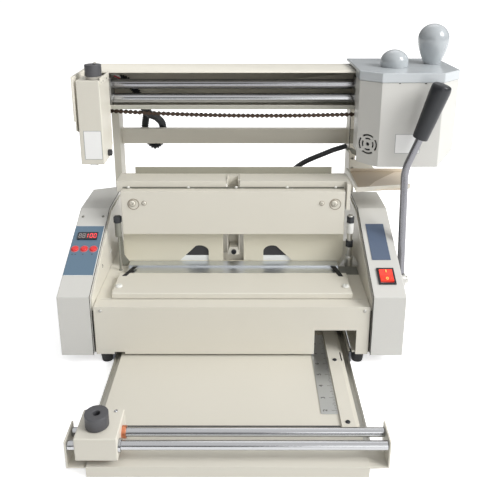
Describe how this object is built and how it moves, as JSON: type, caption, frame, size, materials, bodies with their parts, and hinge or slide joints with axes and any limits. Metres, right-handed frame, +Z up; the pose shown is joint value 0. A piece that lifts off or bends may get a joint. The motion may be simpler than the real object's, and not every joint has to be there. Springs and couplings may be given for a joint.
{
  "type": "thermal binding machine",
  "caption": "Counter-top thermal book binder: clamp with lever, sliding milling and glue heads on rods, creasing tray, keys and a power rocker.",
  "frame": {"origin": "middle of the box around the whole machine, at the table under the feet", "axes": "+X to the operator's right, +Y to the back, +Z up"},
  "size_m": [0.613, 0.5433, 0.4896],
  "materials": {
    "ivory_enamel": "satin stove enamel, warm ivory grey",
    "grey_enamel": "satin stove enamel, light warm grey",
    "cool_grey_plastic": "smooth moulded plastic, cool light grey",
    "polished_steel": "ground and polished steel",
    "zinc_plate": "zinc plated steel, slightly dull",
    "aluminium_strip": "brushed aluminium",
    "black_plastic": "black moulded plastic",
    "charcoal_knob": "charcoal moulded plastic",
    "black_rubber": "matt black rubber",
    "oiled_chain": "dark oiled steel",
    "blue_grey_film": "printed film, blue grey",
    "display_window": "dark tinted window",
    "red_button": "red moulded plastic",
    "red_rocker": "translucent red plastic, lit when on",
    "copper_bush": "copper coloured sintered bronze"
  },
  "bodies": {
    "machine": {"base_frame": "ivory_enamel", "front_panel": "ivory_enamel", "deck": "ivory_enamel", "platen": "ivory_enamel", "support_rail": "ivory_enamel", "rear_jaw": "ivory_enamel", "center_bracket": "ivory_enamel", "upright_frame": "ivory_enamel", "beam": "ivory_enamel", "drip_tray": "ivory_enamel", "left_housing": "grey_enamel", "right_housing": "grey_enamel", "rear_wall": "grey_enamel", "upper_rod": "polished_steel", "lower_rod": "polished_steel", "adjuster_left": "zinc_plate", "adjuster_right": "zinc_plate", "edge_strip": "aluminium_strip", "conduit": "black_plastic", "glue_cable": "black_plastic", "switch_bezel": "black_plastic", "foot_front_left": "black_rubber", "foot_front_right": "black_rubber", "foot_rear_left": "black_rubber", "foot_rear_right": "black_rubber", "roller_chain": "oiled_chain", "control_plate": "blue_grey_film", "info_plate": "blue_grey_film", "display": "display_window"},
    "tray": {"tray": "ivory_enamel", "ruler": "aluminium_strip", "guide_strip": "ivory_enamel", "slide_left": "zinc_plate", "slide_right": "zinc_plate", "creaser_base": "ivory_enamel", "creaser_front_rod": "polished_steel", "creaser_rear_rod": "polished_steel"},
    "creaser_carriage": {"creaser_block": "ivory_enamel", "creaser_bush": "copper_bush"},
    "creaser_lock": {"creaser_knob": "charcoal_knob"},
    "creasing_wheel": {"creasing_wheel": "polished_steel"},
    "lever": {"lever_hub": "zinc_plate", "lever_rod": "polished_steel", "lever_grip": "black_plastic"},
    "front_jaw": {"front_jaw": "ivory_enamel"},
    "milling_head": {"milling_cover": "ivory_enamel", "milling_slider": "zinc_plate"},
    "milling_depth": {"depth_knob": "charcoal_knob"},
    "milling_spindle": {"milling_cutter": "polished_steel"},
    "glue_head": {"glue_cover": "grey_enamel", "glue_cap": "cool_grey_plastic", "glue_slider": "zinc_plate", "glue_tank": "aluminium_strip", "egg_handle": "cool_grey_plastic", "dome_knob": "cool_grey_plastic"},
    "glue_roller": {"glue_roller": "polished_steel"},
    "key_1": {"button_1": "red_button"},
    "key_2": {"button_2": "red_button"},
    "key_3": {"button_3": "red_button"},
    "power_rocker": {"rocker": "red_rocker"}
  },
  "joints": [
    {"name": "tray_slide", "type": "slide", "parent": "machine", "child": "tray", "axis": [0, 1, 0], "range_m": [0, 0.16]},
    {"name": "creaser_slide", "type": "slide", "parent": "tray", "child": "creaser_carriage", "axis": [1, 0, 0], "range_m": [0, 0.3]},
    {"name": "creaser_lock_turn", "type": "hinge", "parent": "creaser_carriage", "child": "creaser_lock", "pos_m": [-0.2063, -0.2405, 0.0735], "axis": [0, 0, 1], "continuous": true},
    {"name": "creasing_wheel_spin", "type": "hinge", "parent": "creaser_carriage", "child": "creasing_wheel", "pos_m": [-0.2033, -0.2198, 0.027], "axis": [0, 1, 0], "continuous": true},
    {"name": "lever_pivot", "type": "hinge", "parent": "machine", "child": "lever", "pos_m": [0.2177, 0.04, 0.1], "axis": [1, 0, 0], "range_deg": [0, 75]},
    {"name": "front_jaw_slide", "type": "slide", "parent": "machine", "child": "front_jaw", "axis": [0, -1, 0], "range_m": [0, 0.04]},
    {"name": "milling_head_slide", "type": "slide", "parent": "machine", "child": "milling_head", "axis": [1, 0, 0], "range_m": [0, 0.385]},
    {"name": "depth_knob_turn", "type": "hinge", "parent": "milling_head", "child": "milling_depth", "pos_m": [-0.2628, 0.089, 0.424], "axis": [0, 0, 1], "continuous": true},
    {"name": "milling_cutter_spin", "type": "hinge", "parent": "milling_head", "child": "milling_spindle", "pos_m": [-0.2688, 0.091, 0.2825], "axis": [0, 0, 1], "continuous": true},
    {"name": "glue_head_slide", "type": "slide", "parent": "machine", "child": "glue_head", "axis": [1, 0, 0], "range_m": [-0.385, 0]},
    {"name": "glue_roller_spin", "type": "hinge", "parent": "glue_head", "child": "glue_roller", "pos_m": [0.2247, 0.1015, 0.302], "axis": [0, 1, 0], "continuous": true},
    {"name": "key_1_press", "type": "slide", "parent": "machine", "child": "key_1", "axis": [0, 0.4127, -0.9109], "range_m": [0, 0.0012], "stiffness_N_per_m": 300},
    {"name": "key_2_press", "type": "slide", "parent": "machine", "child": "key_2", "axis": [0, 0.4127, -0.9109], "range_m": [0, 0.0012], "stiffness_N_per_m": 300},
    {"name": "key_3_press", "type": "slide", "parent": "machine", "child": "key_3", "axis": [0, 0.4127, -0.9109], "range_m": [0, 0.0012], "stiffness_N_per_m": 300},
    {"name": "power_rocker_tilt", "type": "hinge", "parent": "machine", "child": "power_rocker", "pos_m": [0.1817, -0.01366, 0.13306], "axis": [1, 0, 0], "range_deg": [-9, 9]}
  ],
  "couplings": [
    {"joint": "front_jaw_slide", "follows": "lever_pivot", "m_per_rad": 0.0305},
    {"joint": "creasing_wheel_spin", "follows": "creaser_slide", "rad_per_m": 90.909},
    {"joint": "glue_roller_spin", "follows": "glue_head_slide", "rad_per_m": -31.424}
  ]
}
